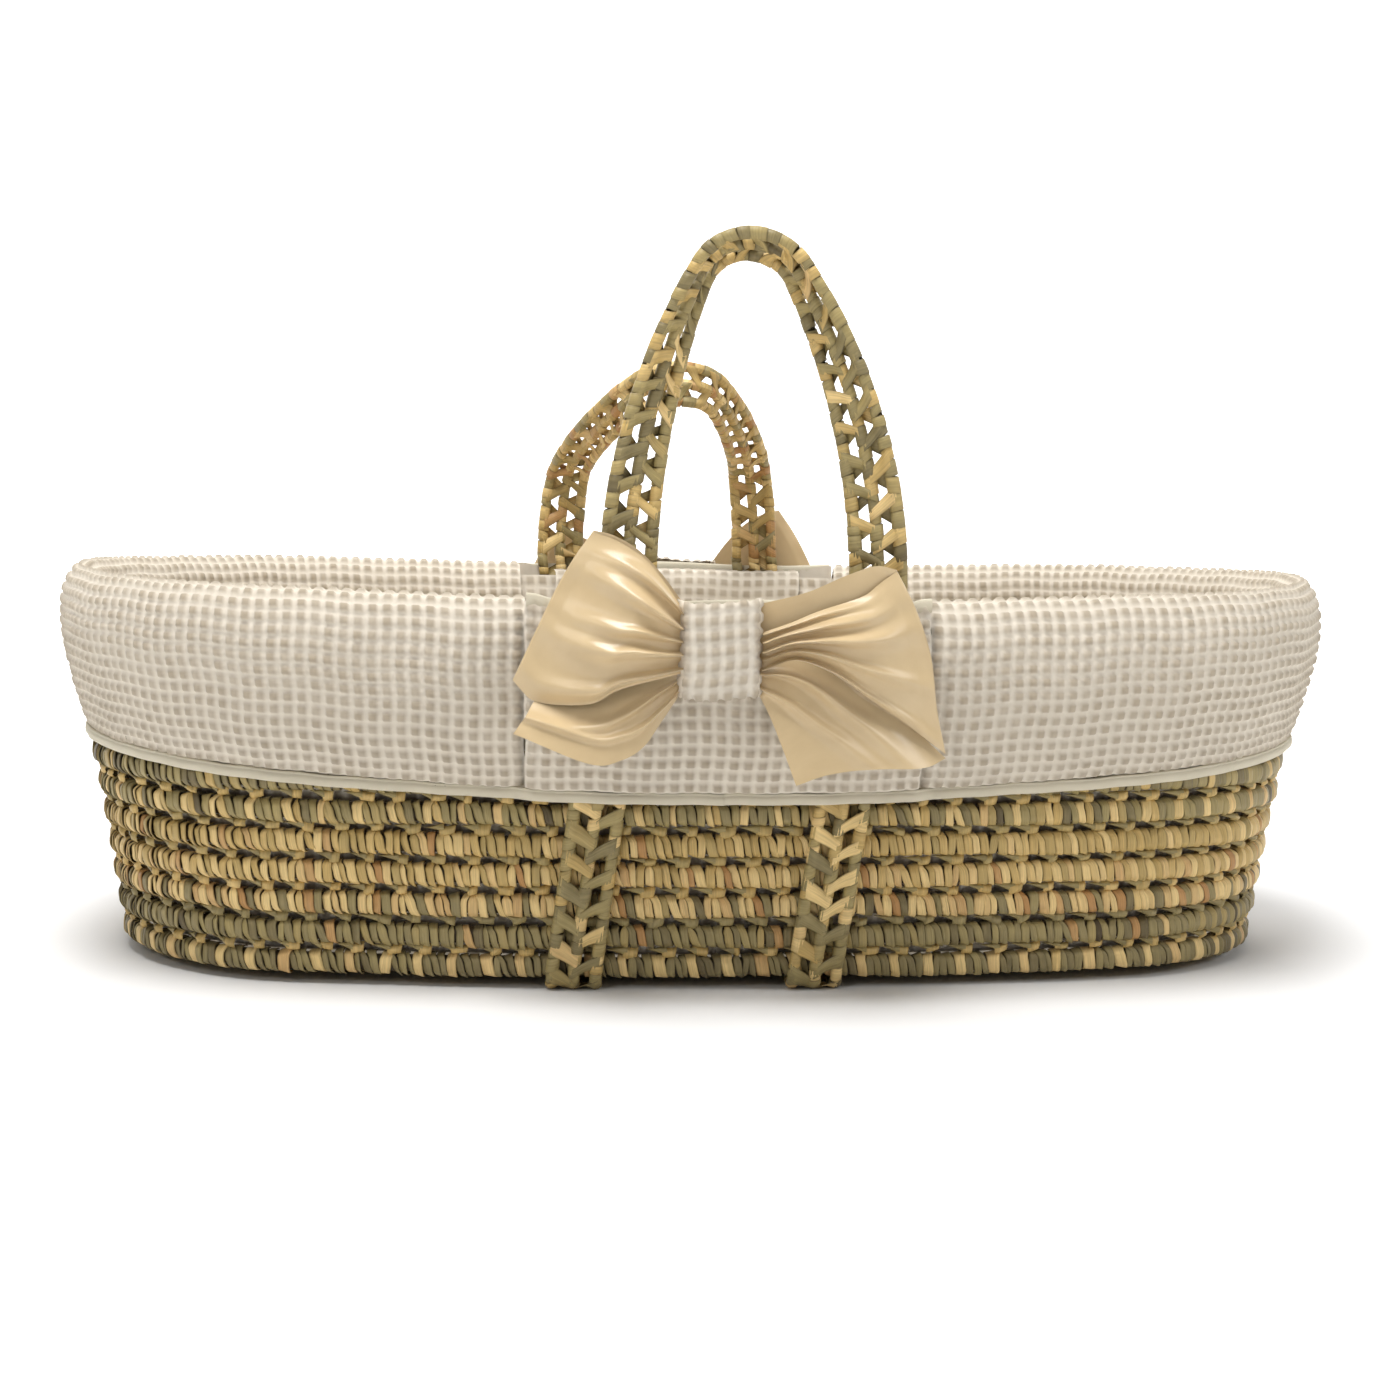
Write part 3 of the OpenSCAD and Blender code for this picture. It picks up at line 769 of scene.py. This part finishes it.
def lining_at(s, v):
    return plan.at(s, FLARE * (LINING_TOP - v) - 0.0145 + 0.0006 * np.sin(s * 40 + 50 * v), LINING_TOP - v)


points, lay = weave(lining_at, (plan.length, 0), (0, 0.217), 0.0009, (0.0092, 0.0094))
wall.add(points[None], lay[None])
made = wall.make("lining_wall", waffle, "waffle_cotton", ["liner_wall"])

bed = Bundle()
s, r = np.meshgrid(np.linspace(0, plan.length, 161), np.linspace(0.002, 1, 12), indexing="ij")
ground = plan.at(s, -0.0104, 0.018)
ground[..., :2] *= r[..., None]
bed.add(ground[None, :, ::-1], np.stack([ground[..., 0], ground[..., 1], 0 * s + 0.8], -1)[None, :, ::-1])
made = bed.make("lining_floor", waffle, "waffle_cotton", ["liner_floor"])

flap_line = [(35, 241.9), (24, 240.3), (20.2, 237), (17.2, 230), (15.4, 212), (9.9, 172)]
flap_reach = np.linalg.norm(np.diff(curve(flap_line, np.linspace(0, 1, 200)), axis=0), axis=1).sum() * 0.001
flap_s = plan.side * math.radians(3.4)
for name, turned in (("front", False), ("back", True)):
    flap = Bundle()

    def flap_at(s, v):
        place = curve(flap_line, v / flap_reach) * 0.001
        out, z = place[..., 0], place[..., 1]
        return plan.at(s, out + 0.0004 * np.sin(60 * s), z + 0.0006 * np.sin(45 * s + 1))

    points, lay = weave(flap_at, (flap_s, -flap_s), (0, flap_reach), 0.0009)
    flap.add(points[None], lay[None])
    made = flap.make(name + "_flap", waffle, "waffle_cotton", [name + "_inner_flap"], turned=turned)
    2 * flap_s

# ------------------------------------------------------------------ the bows
# Soft satin: each loop is one strip folded back on itself and gathered into a
# band of the honeycomb cotton; two cut tails spread below.


def satin_recipe(w):
    lay = w.node("Attribute", {"attribute_name": "lay"}, out="Vector")
    x, y = [w.node("SeparateXYZ", None, {0: lay}, k) for k in "XY"]
    flat = w.node("CombineXYZ", None, {0: x * 55, 1: y * 55, 2: 0.0})
    cloud = w.node("TexNoise", None, {"Vector": flat, "Scale": 1.0, "Detail": 4.0}, "Fac")
    threads = w.node("CombineXYZ", None, {0: (x + y) * 2600, 1: (x - y) * 300, 2: 0.0})
    weave_mark = w.node("TexNoise", None, {"Vector": threads, "Scale": 1.0, "Detail": 1.0}, "Fac")
    champagne = [(0.2, tint(198, 173, 132)), (0.8, tint(209, 185, 144))]
    shade = w.node("ValToRGB", {"stops": champagne}, {0: cloud})
    bump = w.node("Bump", None, {"Height": weave_mark + cloud * 2.0, "Strength": 0.12, "Distance": 0.0003})
    return {"Base Color": shade, "Roughness": 0.27 + weave_mark * 0.1, "Normal": bump, "Sheen Weight": 0.3,
            "Sheen Roughness": 0.4, "Specular IOR Level": 0.55, "Anisotropic": 0.5}


satin = paint("satin", satin_recipe)


def patch(bottom, top, inner, outer, n=(70, 60)):
    """x and z of a sheet spanned by four edges; t runs out from the knot, w runs upwards."""
    t, w = np.linspace(0, 1, n[0]), np.linspace(0, 1, n[1])
    b, u, i, o = curve(bottom, t), curve(top, t), curve(inner, w), curve(outer, w)
    t, w = t[:, None, None], w[None, :, None]
    b, u, i, o = b[:, None], u[:, None], i[None], o[None]
    mix = (1 - w) * b + w * u + (1 - t) * i + t * o
    mix = mix - ((1 - t) * (1 - w) * b[:1] + t * (1 - w) * b[-1:] + (1 - t) * w * u[:1] + t * w * u[-1:])
    return mix * 0.001, t[..., 0], w[..., 0]


def loop(name, slot_node, front, rear, folds, depth, turned):
    """front and rear are the four edges of each layer; folds are (place, tilt, width, height in mm)."""
    sheet = Bundle()
    flat, t, w = patch(*rear)
    y = -0.2285 - 0.0012 * np.sin(math.pi * t) - 0.002 * np.sin(math.pi * w) * (1 - t)
    hidden = columns(flat[..., 0], y, flat[..., 1])
    flat, t, w = patch(*front)
    puff = np.sin(math.pi * np.clip(t, 0, 1) ** 0.75) * np.sin(math.pi * np.clip(w, 0.02, 0.98)) ** 0.55
    y = -0.2315 - depth * puff - 0.0085 * (1 - t) ** 1.5 + 0.002 * t
    for place, tilt, wide, high in folds:
        line = place + tilt * t
        spread = wide * (0.35 + 0.9 * t)
        y = y - high * 0.0013 * np.exp(-((w - line) / spread) ** 2) * (1 - smooth((t - 0.25) / 0.75) * 0.8)
    shown = columns(flat[..., 0], y, flat[..., 1])
    both = np.concatenate([hidden, shown[::-1]])
    far = np.linspace(0, 0.2, len(both))[:, None]
    lay = columns(far, w * 0.1, 0.5)
    # ease the two layers into each other round the outer fold
    n = len(hidden)
    blend_rows = both[n - 7:n + 7].copy()
    bulge = np.sin(np.linspace(0, math.pi, 14))[:, None]
    both[n - 7:n + 7, :, 0] = blend_rows[..., 0] + np.sign(blend_rows[..., 0] + 0.008) * 0.0012 * bulge
    both[n - 7:n + 7, :, 1] = np.linspace(blend_rows[0, :, 1], blend_rows[-1, :, 1], 14)
    sheet.add(both[None], lay[None])
    made = sheet.make(name, satin, "satin", [slot_node], turned=turned)


def tail(name, slot_node, edges, folds, turned):
    sheet = Bundle()
    flat, t, w = patch(*edges)
    y = -0.2275 - 0.0035 * np.sin(math.pi * w) * (1 - 0.4 * t) - 0.005 * (1 - t) ** 2
    y = y - 0.02 * np.sqrt(t) * (1 - w)
    for place, tilt, wide, high in folds:
        spread = wide * (0.4 + 0.8 * t)
        y = y - high * 0.001 * np.exp(-((w - place - tilt * t) / spread) ** 2) * (1 - 0.6 * t)
    points = columns(flat[..., 0], y, flat[..., 1])
    sheet.add(points[None], columns(t * 0.12, w * 0.06, 0.5)[None])
    made = sheet.make(name, satin, "satin", [slot_node], turned=turned)


left_front = ([(-30, 205), (-66, 195), (-84, 186), (-115, 187), (-127, 199)],
              [(-30, 242), (-38, 254), (-51, 270), (-66, 280), (-81, 286)],
              [(-30, 205), (-30, 223), (-30, 242)],
              [(-127, 199), (-117, 222), (-104, 250), (-93, 270), (-81, 286)])
left_rear = ([(-30, 204), (-66, 194), (-84, 188), (-115, 189), (-127, 200)],
             [(-30, 246), (-42, 262), (-56, 276), (-70, 284), (-81, 287)],
             [(-30, 204), (-30, 225), (-30, 246)],
             [(-127, 200), (-117, 222), (-104, 250), (-93, 270), (-81, 287)])
right_front = ([(16, 206), (35, 213), (57, 206), (81, 190), (104, 175), (127, 157)],
               [(16, 229), (33, 235), (50, 242), (75, 250), (85, 257), (95, 265)],
               [(16, 206), (16, 217), (16, 229)],
               [(127, 157), (121, 185), (117, 214), (109, 238), (103, 251), (95, 265)])
right_rear = ([(16, 204), (35, 208), (57, 202), (81, 188), (104, 174), (127, 158)],
              [(16, 245), (43, 252), (66, 262), (84, 268), (95, 266)],
              [(16, 204), (16, 225), (16, 245)],
              [(127, 158), (121, 185), (117, 214), (109, 238), (103, 251), (95, 266)])
left_tail = ([(-31, 192), (-42, 176), (-52, 162), (-65, 154), (-84, 152), (-128, 170)],
             [(-31, 204), (-60, 196), (-84, 188), (-114, 190)],
             [(-31, 192), (-31, 198), (-31, 204)],
             [(-128, 170), (-122, 178), (-114, 190)])
right_tail = ([(15, 193), (22, 179), (30, 159), (37, 140)],
              [(15, 210), (35, 213), (57, 207), (81, 191), (104, 176), (129, 154)],
              [(15, 193), (15, 202), (15, 210)],
              [(37, 140), (56, 146), (83, 149), (115, 149), (129, 154)])
for side, turned, names in (("front", False, ("left", "right")), ("back", True, ("right", "left"))):
    stem = side + "_bow_"
    loop(stem + names[0] + "_loop_satin", stem + names[0] + "_loop", left_front, left_rear,
         [(0.08, 0.02, 0.06, 6.0), (0.3, 0.1, 0.06, 6.5), (0.5, 0.02, 0.05, 4.5), (0.7, 0.1, 0.06, 6.5),
          (0.93, -0.05, 0.04, 5.0)], 0.0125, turned)
    loop(stem + names[1] + "_loop_satin", stem + names[1] + "_loop", right_front, right_rear,
         [(0.05, -0.02, 0.05, 6.5), (0.3, 0.05, 0.05, 5.5), (0.5, 0.2, 0.07, 7.0), (0.75, 0.12, 0.06, 6.5),
          (0.95, 0.0, 0.05, 4.5)], 0.0135, turned)
    tail(stem + names[0] + "_tail_satin", stem + names[0] + "_tail", left_tail,
         [(0.25, 0.25, 0.07, 5.0), (0.75, -0.3, 0.1, 5.0)], turned)
    tail(stem + names[1] + "_tail_satin", stem + names[1] + "_tail", right_tail,
         [(0.22, 0.3, 0.08, 6.0), (0.7, 0.05, 0.12, 9.0)], turned)
    # the band round the middle, pulled snug over the gathers
    a = np.radians(np.linspace(-96, 96, 400))
    ring = np.stack([-0.008 + 0.0240 * np.sign(np.sin(a)) * np.abs(np.sin(a)) ** 0.5,
                     -0.2265 - 0.0235 * np.maximum(np.cos(a), 0) ** 0.42], -1)
    ring_far = np.concatenate([[0], np.cumsum(np.linalg.norm(np.diff(ring, axis=0), axis=1))])

    def band_at(s, v):
        x, y = np.interp(s, ring_far, ring[:, 0]), np.interp(s, ring_far, ring[:, 1])
        t = np.clip((v - 0.004) / 0.0545, 0, 1) * 2 - 1
        turn_in = smooth((np.abs(v - 0.03125) - 0.0268) / 0.0045)
        pull = 1 + 0.03 * t * t - 0.14 * turn_in
        crown = 0.0016 * (1 - t * t)
        z = 0.2475 - np.clip(v - 0.003, 0, 0.0565) + 0.0012 * np.sin(x * 90)
        return np.stack([-0.008 + (x + 0.008) * pull, y - crown * (y < -0.24) + 0.003 * turn_in, z], -1)

    knot = Bundle()
    points, lay = weave(band_at, (0, ring_far[-1]), (0, 0.0625), 0.0016, (0.0085, 0.0089))
    knot.add(points[None, :, ::-1], lay[None, :, ::-1])
    made = knot.make(stem + "knot_band", waffle, "waffle_cotton", [stem + "knot"], turned=turned)

# -------------------------------------------------------------- the mattress
# A foam pad in a stretchy knitted cover with piped edges; it lies loose in the
# bottom and lifts straight out.

knit = paint("knitted_cover", cloth_paint(tint(236, 231, 220), tint(226, 220, 208), 0.0009, 0.0002))
low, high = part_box("mattress_cover")
pad = Bundle()
edge = [(0.0005, 1), (0.15, 1), (0.4, 1), (0.65, 1), (0.85, 1), (0.93, 0.99), (0.972, 0.93), (0.993, 0.78),
        (1.0, 0.5)]
ring = [(r, z) for r, z in edge] + [(1.0, 0.0)] + [(r, -z) for r, z in edge[::-1]]
r, h = np.array([p[0] for p in ring]), np.array([p[1] for p in ring])
s, k = np.meshgrid(np.linspace(0, plan.length, 321), np.arange(len(ring)), indexing="ij")
points = plan.at(s, -0.0172, 0)
points[..., :2] *= r[k][..., None]
middle, half = (low.z + high.z) / 2, (high.z - low.z) / 2 - 0.0022
dimple = 0.0007 * np.sin(points[..., 0] * 26) * np.sin(points[..., 1] * 31 + 1)
points[..., 2] = middle + half * h[k] + np.where(h[k] > 0.9, 0.0022 * (1 - r[k] ** 2) + dimple, 0)
lay = columns(points[..., 0], points[..., 1] + h[k] * 0.02, 0.7)
pad.add(points[None, :, ::-1], lay[None, :, ::-1])
for place in (0.9, -0.9):
    s, a = np.meshgrid(np.linspace(0, plan.length, 321), np.linspace(0, 2 * math.pi, 9)[:-1], indexing="ij")
    cordlet = plan.at(s, -0.0188 + 0.0018 * np.cos(a), middle + half * place + 0.0018 * np.sin(a))
    pad.add(cordlet[None], np.stack([s, a * 0.002, 0 * s + 0.85], -1)[None], ring=True)
made = pad.make("mattress_pad", knit, "jersey_cover", ["mattress_cover", "mattress_foam"], "mattress")
